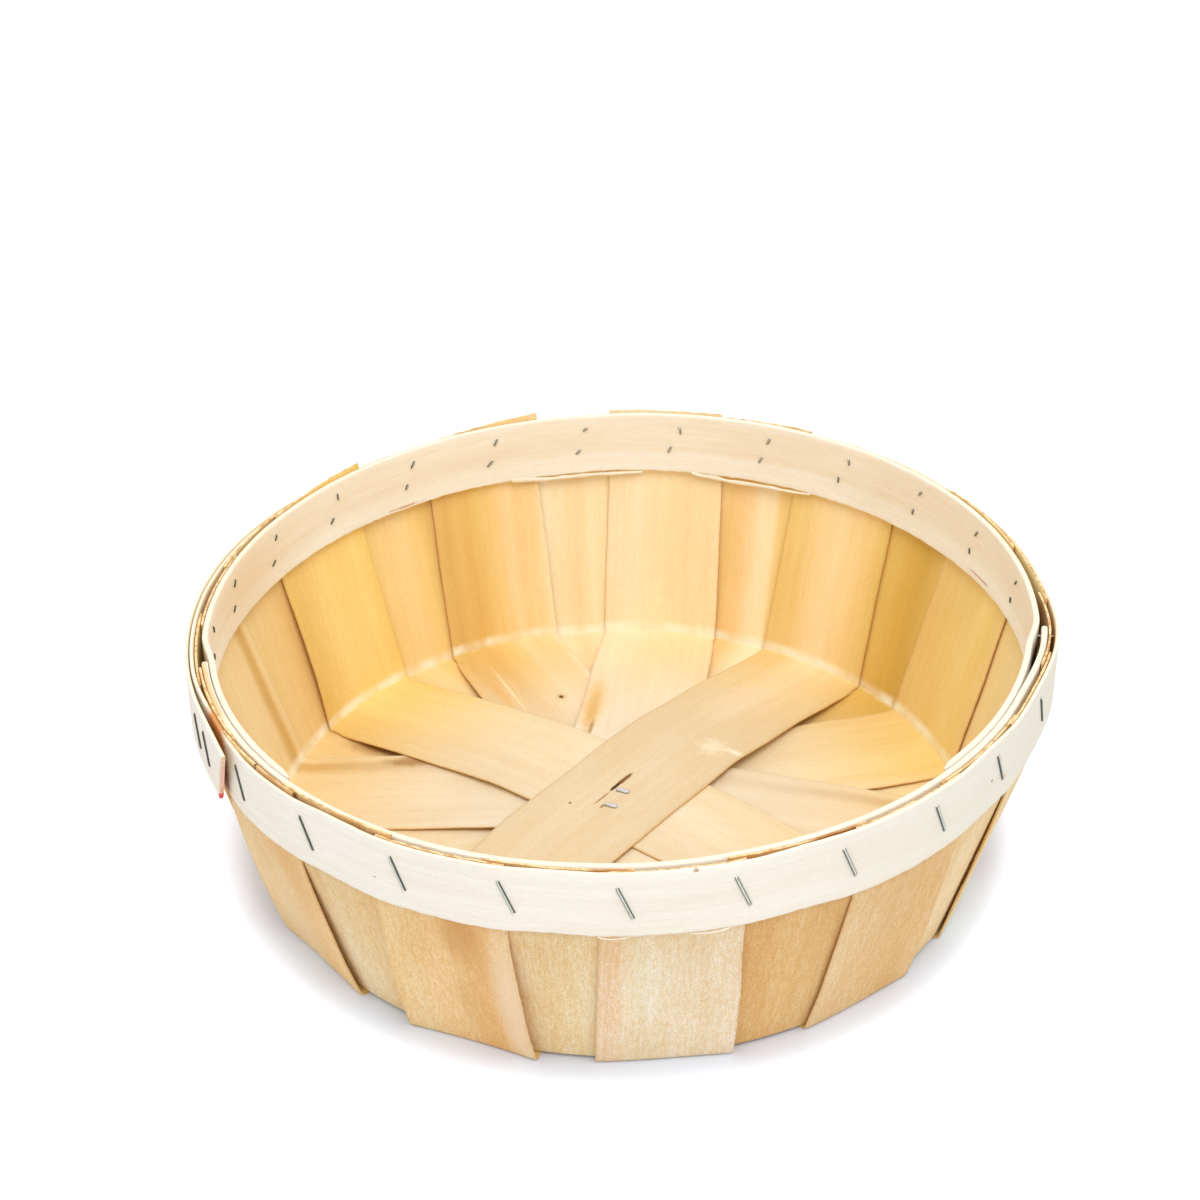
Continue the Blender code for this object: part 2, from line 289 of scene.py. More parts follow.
def bumped(tree, height, look):
    # a normal tilted by the slope of a height, without moving the surface
    inputs = {"Height": height, "Strength": look["bump"], "Distance": look["bumpDepth"]}
    return addNode(tree, "ShaderNodeBump", {}, inputs)


def newTree(name):
    # a new material, its node tree and its shader
    material = bpy.data.materials.new(name)
    material.use_nodes = True
    tree = material.node_tree
    return material, tree, tree.nodes["Principled BSDF"]


def grainOf(tree):
    # the grain coordinate as three signals: along, across and the kind of face
    grain = addNode(tree, "ShaderNodeAttribute", {"attribute_name": "grain"}, {}, 1)
    first = addNode(tree, "ShaderNodeSeparateXYZ", {}, {0: grain})
    return [Signal(tree, socket) for socket in first.socket.node.outputs]


# The noises of the wood, from broad to fine: the key of a look that says how much shows, the
# key of its shades, lumps per metre along and across, whether they follow the wandering grain,
# how far apart they lie, detail, roughness, and relief on the inside and the outside face
woodNoises = (
    ("patch", "broadShades", (16.0, 45.0), False, 0.0, 3.0, 0.55, None),
    ("streak", "broadShades", (7.0, 330.0), True, 1.7, 3.0, 0.6, (0.25, 0.25)),
    ("fibre", "fineShades", (60.0, 1900.0), True, 3.1, 2.0, 0.6, (0.5, 0.5)),
    ("mottle", "fineShades", (260.0, 800.0), False, 7.1, 3.0, 0.65, (0.0, 0.6)),
    ("fuzz", "fineShades", (900.0, 1900.0), False, 5.3, 2.0, 0.7, (0.35, 1.25)),
)
woodBase = {
    "wander": 6.0 * mm, "wanderScale": (11.0, 22.0), "facesApart": 7.7,
    "patch": (0.34, 0.66), "streak": (0.22, 0.34), "fibre": (0.14, 0.3),
    "mottle": (0.17, 0.6), "fuzz": (0.18, 0.9),
    "broadShades": ((0.93, 0.83, 0.66, 1.0), (1.02, 1.05, 1.11, 1.0)),
    "fineShades": ((0.92, 0.79, 0.57, 1.0), (1.02, 1.06, 1.14, 1.0)),
    # edge, edgeRun and edgeTint darken the long edges as painted shade of the gaps
    "edge": 0.35, "edgeRun": 1.1 * mm, "edgeTint": (0.80, 0.66, 0.45, 1.0),
    # the top of the outside is darkened as painted shade under the band, over browner wood
    "topShadeAndBrown": 0.3, "topFrom": 150.0 * mm, "topTo": 215.0 * mm,
    "endLight": paint(248, 218, 166), "endDark": paint(196, 146, 84), "endShare": 0.9,
    "cutTint": paint(232, 186, 126), "cutShare": 0.6, "tornScale": (300.0, 260.0),
    "bump": 0.3, "bumpDepth": 0.25 * mm, "sheen": 0.22, "rough": (0.54, 0.62), "roughFibre": 0.22,
}


def woodFinish(name, look):
    # raw sliced wood: bands of tone across the strip that wander along it, paled on the floor as
    # painted light, times the shades of the noises, darkened at the top of the outside as painted
    # shade over browner wood and along the long edges as painted shade, then a worn crease, brown
    # cut ends and single marks, some of them painted shade, each mixed in by its mask
    material, tree, shader = newTree(name)
    u, v, kind = grainOf(tree)
    outside, cut, end = (stepped(kind, face - 0.6, face - 0.4) for face in (outsideFace, edgeFace, endFace))
    seed = look["seed"]

    def spot(scale, apart, across=v):
        return vector(tree, u * scale[0], across * scale[1], apart)

    def bySide(pair):
        return outside * (pair[1] - pair[0]) + pair[0]

    drift = noise(tree, spot(look["wanderScale"], seed + 0.3))
    wander = v + (drift - 0.5) * look["wander"]
    place = wander / look["width"] + 0.5
    colour = addNode(tree, "ShaderNodeValToRGB", {"stops": look["inside"]}, {0: place})
    if "outside" in look:
        other = addNode(tree, "ShaderNodeValToRGB", {"stops": look["outside"]}, {0: place})
        colour = mixed(tree, outside, colour, other)
    # painted light: towards the middle the floor is paled towards a tint, as where brighter light falls on it
    if "floorLitTint" in look:
        litFloor = (1.0 - stepped(abs(u), look["floorLitFrom"], look["floorLitTo"])) * (1.0 - outside)
        colour = mixed(tree, litFloor * look["floorLitShare"], colour, look["floorLitTint"])

    lumps = {}
    relief = 0.0
    for key, shades, scale, wanders, apart, detail, roughness, height in woodNoises:
        at = spot(scale, outside * look["facesApart"] + seed + apart, wander if wanders else v)
        lumps[key] = noise(tree, at, detail, roughness)
        shade = mixed(tree, stepped(lumps[key], 0.3, 0.7), *look[shades])
        colour = mixed(tree, bySide(look[key]), colour, shade, "MULTIPLY")
        if height:
            relief = lumps[key] * bySide(height) + relief
    # darker and browner at the top of the outside, under the outer band: painted shade over browner wood
    high = stepped(abs(u), look["topFrom"], look["topTo"]) * outside
    colour = mixed(tree, high * look["topShadeAndBrown"], colour, look["edgeTint"], "MULTIPLY")

    if "crease" in look:
        ragged = noise(tree, spot(look["raggedScale"], seed + 9.0))
        off = abs(abs(u) - look["crease"] + (ragged - 0.5) * look["creaseRagged"])
        along, over = look["lastingScale"]
        lasting = stepped(noise(tree, vector(tree, seed, v * over, u * along)), 0.36, 0.62)
        worn = 1.0 - stepped(off, look["creaseCore"], look["creaseWidth"])
        worn = worn * (ragged * 0.6 + lasting * 0.6 + 0.1) * (1.0 - outside)
        colour = mixed(tree, worn * look["creaseShare"], colour, look["creaseTint"])
    # darker along the long edges: painted shade of the gaps between strips
    edge = stepped(abs(v), look["width"] / 2.0 - look["edgeRun"], look["width"] / 2.0)
    colour = mixed(tree, edge * look["edge"], colour, look["edgeTint"], "MULTIPLY")
    torn = noise(tree, spot(look["tornScale"], seed + 2.2), 3.0, 0.7)
    brown = mixed(tree, stepped(torn, 0.42, 0.68), look["endLight"], look["endDark"])
    colour = mixed(tree, end * look["endShare"], colour, brown)
    colour = mixed(tree, cut * (1.0 - end) * look["cutShare"], colour, look["cutTint"])
    # single marks: stains, knots and scuffs, and patches of painted shade
    for stainOrShade in look.get("marks", ()):
        du = (u - stainOrShade["u"]) / stainOrShade["long"]
        dv = (v - stainOrShade["v"]) / stainOrShade["wide"]
        reach = (du * du + dv * dv).math("SQRT") + (torn - 0.5) * stainOrShade["ragged"]
        inReach = 1.0 - stepped(reach, 1.0 - stainOrShade["soft"], 1.0)
        inReach = inReach * (outside if stainOrShade["outside"] else 1.0 - outside)
        colour = mixed(tree, inReach * stainOrShade["share"], colour, stainOrShade["tint"])

    rough = lumps["fibre"] * look["roughFibre"] + bySide(look["rough"])
    feed(shader, {"Base Color": colour, "Roughness": rough, "Specular IOR Level": look["sheen"]})
    feed(shader, {"Normal": bumped(tree, relief, look)})
    return material


def mark(u, v, long, wide, tint, share=0.9, soft=0.6, outside=False, ragged=0.5):
    # one mark of a wood surface, a stain, knot or scuff, and in some places a patch of painted
    # shade: an ellipse with a ragged edge, its middle and reach along and across in millimetres,
    # its colour and how much of it shows
    return {
        "u": u * mm, "v": v * mm, "long": long * mm, "wide": wide * mm, "tint": paint(*tint),
        "share": share, "soft": soft, "outside": outside, "ragged": ragged,
    }


# The light on the faces as the photograph shows them, and two tones used more than once
insideLight = (1.02, 0.88, 0.715)
outsideLight = (0.85, 0.76, 0.66)
outerBandLight = (0.98, 0.98, 0.97)
nick = (78, 48, 24)
hiddenTones = ((0, 228, 188, 134), (1, 226, 186, 132))

# Each splint: azimuth of its far end, level in the pile from the lowest, how far its edges
# stand off the wall and its ends above the bands (shares of flare and rise), how far its far
# end's edges gape inwards in millimetres, its marks, and the tones across its inside and
# outside, from the edge at the lower azimuth of its far end
outerSplints = [
    {"at": 7.5, "level": 4, "flares": (0.5, 0.5), "ends": ((0.5, 0.2), (-0.2, -0.3)),
     "inside": ((0, 242, 206, 142), (0.42, 245, 211, 145), (0.6, 246, 208, 139), (0.75, 249, 208, 137),
                (1, 244, 202, 130)),
     "outside": ((0, 228, 190, 140), (1, 224, 186, 134))},
    {"at": 37.5, "level": 1, "flares": (1.0, 0.6), "ends": ((-0.9, -1.0), (0.35, 0.3)),
     "marks": (
         mark(-230, -10, 5, 12, (206, 156, 92), 0.5, 0.6, True),
         mark(-230, -1, 4, 0.7, nick, 0.9, 0.5, True),
         mark(-230, -22.4, 4, 1, nick, 0.9, 0.4, True),
         mark(-196, -12, 60, 20, (224, 172, 112), 0.4, 1, True),
         mark(-146, 8, 40, 16, (244, 220, 178), 0.5, 1, True)),
     "inside": ((0.18, 230, 183, 98), (0.33, 216, 167, 74), (0.5, 221, 170, 74), (0.65, 230, 181, 89),
                (0.8, 232, 184, 94)),
     "outside": ((0, 236, 201, 152), (0.12, 234, 194, 141), (0.3, 240, 199, 152), (0.45, 244, 204, 161),
                 (0.7, 246, 207, 167), (1, 245, 203, 160))},
    {"at": 67.5, "level": 3, "flares": (0.9, 1.0), "ends": ((-0.15, -0.5), (-0.2, -0.1)),
     "marks": (
         mark(-197, -6, 26, 11, (204, 150, 88), 0.6, 1, True),
         mark(-160, -19, 50, 8, (246, 220, 188), 0.7, 0.9, True),
         mark(-158, -3, 22, 9, (214, 162, 98), 0.35, 1, True),
         mark(-230, 22.4, 4, 0.8, nick, 0.9, 0.4, True)),
     "inside": ((0.17, 243, 198, 118), (0.26, 247, 202, 123), (0.31, 253, 219, 162), (0.42, 254, 220, 166),
                (0.52, 251, 207, 144), (0.62, 247, 199, 130), (0.7, 242, 195, 120), (0.8, 246, 199, 127)),
     "outside": ((0, 240, 206, 164), (0.1, 236, 198, 152), (0.2, 228, 184, 130), (0.3, 224, 178, 120),
                 (0.42, 228, 184, 128), (0.52, 236, 194, 142), (0.62, 232, 190, 138), (0.72, 235, 198, 148),
                 (0.82, 236, 202, 154), (1, 235, 199, 148))},
    {"at": 96.0, "level": 5, "flares": (0.35, 0.7), "ends": ((-1.0, -0.9), (-0.3, -0.2)),
     "inside": ((0.2, 251, 214, 154), (0.42, 254, 219, 165), (0.55, 253, 211, 152), (0.66, 253, 218, 165),
                (0.84, 254, 224, 173)),
     "outside": ((0, 242, 212, 186), (0.2, 243, 211, 182), (0.4, 246, 214, 187), (0.6, 247, 214, 187),
                 (0.7, 249, 217, 190), (0.82, 244, 210, 178), (0.92, 238, 202, 170), (1, 243, 206, 174))},
    {"at": 127.8, "level": 0, "flares": (0.3, 0.6), "ends": ((-0.9, -0.8), (-0.2, -0.4)),
     "inside": ((0.14, 228, 177, 98), (0.26, 243, 197, 114), (0.36, 249, 203, 129), (0.46, 248, 207, 137),
                (0.66, 246, 201, 128), (0.78, 242, 197, 117)),
     "outside": ((0, 228, 196, 154), (0.25, 222, 186, 136), (0.6, 223, 190, 143), (1, 226, 196, 153))},
    {"at": 157.8, "level": 2, "flares": (0.3, 0.5), "ends": ((-0.2, -0.1), (-0.3, -0.2)),
     "marks": (
         # painted shade on this splint's cut edge where it meets the gap, darker than the edge's own brown
         mark(-184, 23.6, 36, 1.4, (214, 166, 96), 0.9, 0.5, True),
         # painted shadow beside the lower edge of the splint at 142.54 degrees, which lies over this floor
         mark(106, -6, 18, 6, (166, 120, 58), 0.75, 0.9)),
     "inside": ((0.16, 228, 178, 104), (0.4, 239, 194, 124), (0.78, 236, 196, 128)),
     "outside": ((0, 224, 184, 133), (0.2, 235, 205, 163), (0.5, 234, 208, 165), (0.8, 240, 213, 171),
                 (1, 240, 213, 173))},
]
innerSplints = [
    {"at": 22.0, "level": 5, "ends": ((0.2, 0.1), (0.3, 0.3)),
     "inside": ((0, 243, 201, 126), (0.2, 245, 204, 119), (0.35, 246, 206, 126), (0.6, 238, 194, 112),
                (1, 236, 190, 112)),
     "outside": hiddenTones},
    {"at": 52.15, "level": 10, "ends": ((-0.6, -0.6), (0.3, 0.35)),
     "marks": (
         mark(-17.7, 10.3, 0.9, 0.6, (120, 78, 34)),
         mark(5, 3, 8.5, 1.1, (122, 76, 26), 0.95, 0.5, False, 0.6),
         mark(0.2, 2.9, 4, 1, (64, 40, 16), 0.95, 0.5),
         mark(-8, 2.6, 7, 0.6, (170, 116, 56), 0.85, 0.7),
         mark(-12, -0.6, 2.2, 0.7, (140, 96, 44), 0.8, 0.6),
         mark(44, -11, 9, 8, (255, 240, 214), 0.45, 0.9, False, 1.2),
         mark(46, -19.5, 2.4, 5, (255, 246, 226), 0.6, 0.9, False, 1),
         mark(-227, -6, 5, 9, (208, 158, 92), 0.7, 0.4, True)),
     "inside": ((0, 232, 186, 98), (0.14, 246, 201, 124), (0.3, 251, 208, 138), (0.5, 254, 214, 152),
                (0.68, 252, 209, 141), (0.82, 241, 197, 118), (1, 239, 193, 112)),
     "outside": ((0, 236, 196, 146), (0.3, 240, 206, 164), (0.6, 242, 211, 174), (1, 236, 202, 158)),
     # the floor tint of this splint is painted light on its floor
     "look": {"floorLitTint": paint(219, 203, 174), "floorLitShare": 0.85, "floorLitTo": 165.0 * mm, "topShadeAndBrown": 0.5}},
    {"at": 82.36, "level": 8, "ends": ((0.25, 0.25), (0.0, -0.3)),
     "marks": (
         mark(-227, -16, 5, 8, (188, 132, 70), 0.8, 0.4, True),
         mark(62, 19, 34, 6.5, (232, 194, 130), 0.8, 0.8),
         mark(56, 18.5, 26, 3.6, (214, 170, 100), 0.7, 0.9),
         mark(42, 17, 9, 1.3, (166, 120, 60), 0.75, 0.9, False, 0.7)),
     "inside": ((0, 253, 214, 156), (0.5, 254, 217, 160), (0.8, 253, 219, 168), (1, 251, 218, 168)),
     "outside": ((0, 240, 194, 148), (0.4, 251, 211, 172), (0.7, 249, 209, 170), (1, 229, 180, 131)),
     "look": {"topShadeAndBrown": 0.6}},
    {"at": 111.85, "level": 6, "ends": ((0.95, -0.45), (0.05, -0.25)),
     "marks": (
         mark(92, 15.4, 30, 3, (226, 178, 104), 0.6, 0.9),
         mark(92, 11.4, 30, 0.9, (255, 232, 186), 0.7, 0.9),
         mark(76.9, -5.3, 4.5, 3, (196, 146, 76), 0.5, 0.9),
         mark(76.9, -5.3, 1.5, 1.1, (92, 58, 22), 0.95, 0.5),
         mark(-227, -12, 5, 11, (176, 116, 56), 0.8, 0.4, True)),
     "inside": ((0, 254, 222, 170), (0.08, 248, 206, 140), (0.2, 246, 201, 132), (0.32, 251, 206, 141),
                (0.45, 244, 197, 120), (0.56, 236, 187, 105), (0.66, 231, 178, 93), (0.8, 231, 179, 97),
                (0.88, 224, 174, 92), (1, 233, 184, 107)),
     "outside": ((0, 215, 175, 120), (0.5, 222, 181, 127), (1, 216, 172, 115))},
    {"at": 142.54, "level": 9, "ends": ((0.85, -0.2), (-0.4, -0.5)), "gapes": (0.0, 1.5),
     "inside": ((0, 243, 200, 108), (0.15, 250, 206, 119), (0.55, 248, 204, 120), (0.7, 241, 194, 111),
                (0.85, 234, 186, 101), (1, 233, 187, 100)),
     "outside": ((0, 235, 204, 160), (0.5, 238, 208, 167), (1, 235, 202, 156))},
    {"at": 172.3, "level": 7, "ends": ((-0.2, -0.3), (0.1, -0.2)),
     "marks": (
         # painted shade in the gap of the right lap, at the top of this splint's near end
         mark(-224, 0, 17, 40, (150, 108, 62), 0.6, 0.6),
         # painted shadow beside the lower edge of the splint at 142.54 degrees, on this floor
         mark(84, -19, 17, 4.5, (160, 114, 54), 0.75, 0.8)),
     # the brown band at 0.12 to 0.17 of the inside is painted shade beside a gap
     "inside": ((0, 242, 206, 148), (0.07, 236, 196, 132), (0.12, 216, 168, 96), (0.17, 216, 168, 96),
                (0.25, 240, 202, 142), (0.6, 242, 205, 146), (0.8, 238, 200, 142), (1, 242, 208, 156)),
     "outside": hiddenTones},
]
splintRows = {"floor": 46, "rim": 5, "corner": 6, "wall": 52, "top": 22, "across": 20}
# The wobbles of a splint's two edges and its ends, how far the ends stay below, how far in the
# edges are rounded and how thin they get, and how far the floor's line is softened
splintEdges = {
    "low": ((21.0 * mm, 0.35 * mm), (1.7 * mm, 0.09 * mm)),
    "high": ((19.0 * mm, 0.35 * mm), (1.4 * mm, 0.09 * mm)),
    "top": ((2.3 * mm, 0.2 * mm), (0.9 * mm, 0.1 * mm)), "below": 0.2 * mm,
    "round": 0.3 * mm, "roundShare": 0.55, "soften": 4.0 * mm, "softenSteps": 9,
}


def splintProfile(inset, level):
    # half a splint's outer face from the middle to the rim: a floor line softened by a moving
    # mean, an arc as the corner and two straight lines; returns (distance, height, length so
    # far, share of the way from straight to round) as whole arrays, and the corner's start
    hill = level * pitch + web["lift"]
    floorAt = np.linspace(0.0, web["foot"], splintRows["floor"])
    knots = (0.0, web["flat"], web["shoulder"], web["foot"])
    heights = (hill, hill, hill * web["shoulderShare"], 0.0)
    moves = np.linspace(-splintEdges["soften"], splintEdges["soften"], splintEdges["softenSteps"])[:, None]
    floorUp = np.interp(np.clip(floorAt + moves, 0.0, web["foot"]), knots, heights).mean(axis=0)
    hub = web["base"] - web["corner"] * (1.0 - math.sin(wallLean)) / math.cos(wallLean)
    bend = web["corner"] - inset
    rimRow = np.linspace(web["foot"], hub, splintRows["rim"] + 1)[1:]
    cornerShare = np.arange(1, splintRows["corner"] + 1) / splintRows["corner"]
    angle = -math.pi / 2.0 + (math.pi / 2.0 - wallLean) * cornerShare
    kneeAt = web["knee"] + inset * (1.0 / math.cos(wallLean) - 1.0) / math.tan(wallLean)
    cornerAt = hub + bend * np.cos(angle)
    cornerUp = web["corner"] + bend * np.sin(angle)
    share = np.linspace(0.0, 1.0, splintRows["wall"] + 1)[1:]
    wallAt = cornerAt[-1] + share * (outerWebRadius - inset - cornerAt[-1])
    wallUp = cornerUp[-1] + share * (kneeAt - cornerUp[-1])
    topUp = kneeAt + np.linspace(0.0, 1.0, splintRows["top"] + 1)[1:] * (rim["height"] - kneeAt)
    at = np.concatenate([floorAt, rimRow, cornerAt, wallAt, np.full(len(topUp), outerWebRadius - inset)])
    up = np.concatenate([floorUp + inset, np.full(len(rimRow), inset), cornerUp, wallUp, topUp])
    run = np.concatenate([[0.0], np.cumsum(np.hypot(np.diff(at), np.diff(up)))])
    roundness = np.clip((at - web["foot"]) / (hub - web["foot"]), 0.0, 1.0)
    return at, up, run, roundness, hub


def makeSplint(name, values, width, inset, seed):
    # each half: straight across the floor, then wrapped round the wall; a point's azimuth off
    # the splint's own is the arc sine of its offset over the corner's radius, and shrinks as
    # the wall widens. The edges stand off by the square of the place across, and gape by its
    # fourth power
    at, up, run, roundness, hub = splintProfile(inset, values["level"])
    edge = 2.0 * splintEdges["round"] / width
    sides = np.linspace(-1.0, 1.0, splintRows["across"] + 1)
    sides = np.concatenate([[-1.0, -1.0 + edge], sides[1:-1], [1.0 - edge, 1.0]])
    roundShares = np.ones(len(sides))
    roundShares[[0, -1]] = splintEdges["roundShare"]
    halves = []
    for sign in (-1.0, 1.0):
        toEnd = math.radians(values["at"]) + (0.0 if sign > 0.0 else math.pi)
        length = sign * run[:, None]
        lowEdge = wavy(length, splintEdges["low"], seed)
        highEdge = wavy(length, splintEdges["high"], seed + 2)
        offset = sides * width / 2.0 + lowEdge * (1.0 - sides) / 2.0 + highEdge * (1.0 + sides) / 2.0
        ahead = heading(toEnd)
        left = np.array([-ahead[1], ahead[0], 0.0])
        flat = at[:, None, None] * ahead + sign * offset[..., None] * left
        flat[..., 2] = up[:, None]
        around = sign * sides
        azimuth = toEnd + sign * np.arcsin(offset / hub) * hub / np.maximum(at, hub)[:, None]
        lift = np.clip(up / web["knee"], 0.0, 1.0)[:, None]
        low, high = values.get("flares", (0.0, 0.0))
        flare = np.where(around > 0.0, high, low) * web["flare"]
        stand = flare * around**2 * (1.0 - lift) * (1.0 + 2.0 * lift)
        first, last = values["ends"][0 if sign > 0.0 else 1]
        rise = web["rise"] * (first + (last - first) * (1.0 + around) / 2.0)
        rise = rise + wavy(offset, splintEdges["top"], seed + 5) - splintEdges["below"]
        topShare = np.clip((up - web["knee"]) / (rim["height"] - web["knee"]), 0.0, 1.0)[:, None]
        height = up[:, None] + topShare * rise
        gapeLow, gapeHigh = values.get("gapes", (0.0, 0.0)) if sign > 0.0 else (0.0, 0.0)
        gape = np.where(around > 0.0, gapeHigh, gapeLow) * mm * around**4 * 4.0 * lift * (1.0 - lift)
        push = bulge(azimuth) * lift + stand - gape
        wall = placed(at[:, None] + push, azimuth, height)
        halves.append(flat + (wall - flat) * roundness[:, None, None])
    face = np.concatenate([halves[0][::-1], halves[1][1:]])
    along = np.concatenate([-run[::-1], run[1:]])[:, None]
    outer, inner = thickened(face, web["thickness"], roundShares[None, :, None])
    return sheet(name, outer, inner, along, sides[None, :] * width / 2.0)


# The paler floor, which is painted light, and the worn crease between floor and wall
creaseLook = {
    "floorLitTint": paint(227, 218, 201), "floorLitFrom": 45.0 * mm, "floorLitTo": 135.0 * mm, "floorLitShare": 0.7,
    "crease": 133.0 * mm, "creaseCore": 0.3 * mm, "creaseWidth": 3.4 * mm, "creaseRagged": 1.6 * mm,
    "creaseShare": 0.85, "creaseTint": paint(254, 242, 216),
    "raggedScale": (240.0, 240.0), "lastingScale": (20.0, 95.0),
}


def addSplints(webName, splints, width, inset, firstSeed):
    # the splints of one web, each with its own finish, in place of its node
    for number, values in enumerate(splints, start=1):
        name = f"{webName}_splint_{number}"
        look = dict(woodBase, **creaseLook, width=width, seed=firstSeed / 10.0 + 3.0 * number)
        look.update(values.get("look", {}))
        look["inside"] = tones(insideLight, *values["inside"])
        look["outside"] = tones(outsideLight, *values["outside"])
        look["marks"] = values.get("marks", ())
        piece = makeSplint(name + "_wood", values, width, inset, firstSeed + 10 * number)
        piece.data.materials.append(woodFinish(name, look))
        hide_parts(name)
        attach(piece, "root")


addSplints("outer", outerSplints, web["outerWidth"], inset=0.0, firstSeed=100)
addSplints("inner", innerSplints, web["innerWidth"], inset=pitch, firstSeed=500)
print("splints made")


bands = {
    "inner_band_back": {
        "start": -44.5, "end": 222.5, "width": 26.4 * mm, "thick": innerBandThick,
        "slant": 0.0, "shaved": 0.8, "shavedRun": 7.0 * mm,
    },
    "inner_band_front": {
        "start": 191.5, "end": 352.5, "width": 26.4 * mm, "thick": innerBandThick, "slant": 0.0,
    },
    "outer_band": {
        "start": 150.0, "end": 573.5, "width": 25.0 * mm, "thick": outerBandThick,
        "slant": 4.0, "dip": 2.2 * mm, "dipFrom": 4.0, "dipTo": 176.0, "dipRun": 32.0,
    },
}
# How the bands' edges wave, how far they stay below the rim, and how their thickness draws
# together over the last millimetre
bandEdges = {
    "low": ((23.0 * mm, 0.35 * mm), (2.3 * mm, 0.18 * mm)),
    "high": ((27.0 * mm, 0.2 * mm), (3.1 * mm, 0.07 * mm)),
    "below": 0.2 * mm, "row": 1.1 * mm, "columns": 16,
    "softAt": (0.0, 0.1 * mm, 0.3 * mm, 0.6 * mm, 1.0 * mm), "softShares": (0.45, 0.68, 0.86, 0.96, 1.0),
}
laps = {
    "right": -5.0, "left": 184.0, "innerRun": 7.5, "outerRun": 12.0, "freeRun": 10.5,
    "tucks": ((205.0, 13.0, 1.4 * mm), (232.5, 8.0, 1.0 * mm), (261.8, 7.0, 0.8 * mm),
              (291.9, 8.0, 0.8 * mm), (322.7, 8.0, 0.9 * mm)),
}
innerStep = innerBandThick + web["gap"]
outerStep = outerBandThick + web["gap"]


def backStripRadius(azimuth):
    # inner face, stepped in under the front strip at both laps
    run = math.radians(laps["innerRun"])
    right = eased((math.radians(laps["right"]) - azimuth) / run)
    left = eased((azimuth - math.radians(laps["left"])) / run)
    return rim["radius"] - innerStep * (right + left)


def frontStripRadius(azimuth):
    # inner face, pushed out by the bulge alone
    return rim["radius"] + bulge(azimuth)


def outerStripRadius(azimuth):
    # inner face along the turn, over its own start and straight off at the free end; where only
    # one web lies behind it, it is tucked in by raised cosine waves: azimuth, run and depth
    lapStart = math.radians(bands["outer_band"]["start"]) + turn
    run = math.radians(laps["outerRun"])
    step = outerStep * eased((azimuth - lapStart + run) / run)
    for at, spread, depth in laps["tucks"]:
        share = np.clip((azimuth - math.radians(at)) / math.radians(spread), -1.0, 1.0)
        step = step - depth * (1.0 + np.cos(math.pi * share)) / 2.0
    off = np.maximum(0.0, azimuth - math.radians(bands["outer_band"]["end"]) + math.radians(laps["freeRun"]))
    return (outerBandRadius + bulge(azimuth) + step) / np.cos(off)


def innermostFace(azimuth):
    # the radius of what lies innermost: the long strip where it runs, else the front one
    back = bands["inner_band_back"]
    turned = azimuth if azimuth <= math.radians(back["end"]) else azimuth - turn
    return backStripRadius(turned) if turned >= math.radians(back["start"]) else frontStripRadius(azimuth)


def outermostFace(azimuth):
    # the radius of the outside band's outer face, on its second turn where it laps itself
    band = bands["outer_band"]
    last = math.radians(band["end"] - band["slant"])
    turned = azimuth + turn if azimuth + turn <= last else azimuth
    return outerStripRadius(turned) + band["thick"]


def makeBand(name, radiusOf, seed):
    # a strip on edge round the rim: rows run along it, columns from its lower to its upper edge.
    # It dips between two eased ramps, its free end is cut on a slant, and shaved ends lose
    # thickness by the square of the way to the end
    values = bands[name]
    start, end = math.radians(values["start"]), math.radians(values["end"])
    rows = int((end - start) * rim["radius"] / bandEdges["row"])
    azimuth = np.linspace(start, end, rows)[:, None]
    width = values["width"]
    soft = np.array(bandEdges["softAt"]) / width
    softShares = np.array(bandEdges["softShares"])
    columns = np.linspace(soft[-1], 1.0 - soft[-1], bandEdges["columns"])[1:-1]
    levels = np.concatenate([soft, columns, 1.0 - soft[::-1]])
    shares = np.concatenate([softShares, np.ones(len(columns)), softShares[::-1]])
    length = azimuth * rim["radius"]
    lowEdge = wavy(length, bandEdges["low"], seed)
    highEdge = wavy(length, bandEdges["high"], seed + 2) - bandEdges["below"]
    height = rim["height"] - (width - lowEdge) * (1.0 - levels) + highEdge * levels
    if "dip" in values:
        degrees = np.degrees(azimuth) % 360.0
        down = eased((degrees - values["dipFrom"]) / values["dipRun"])
        back = eased((values["dipTo"] - degrees) / values["dipRun"])
        height = height - values["dip"] * down * back
    last = np.clip(1.0 - (end - azimuth) / math.radians(laps["freeRun"]), 0.0, 1.0)
    turned = azimuth - math.radians(values["slant"]) * last * (1.0 - levels)
    radius = radiusOf(turned)
    endAway = np.minimum(azimuth - start, end - azimuth) * rim["radius"]
    shaved = values.get("shaved", 0.0) * (1.0 - np.clip(endAway / values.get("shavedRun", mm), 0.0, 1.0)) ** 2
    inner = placed(radius + values["thick"] * shaved, turned, height)
    outer = placed(radius + values["thick"], turned, height)
    middle = (inner + outer) / 2.0
    half = (outer - inner) / 2.0 * shares[None, :, None]
    return sheet(name + "_wood", middle + half, middle - half, length, (levels - 0.5)[None, :] * width)


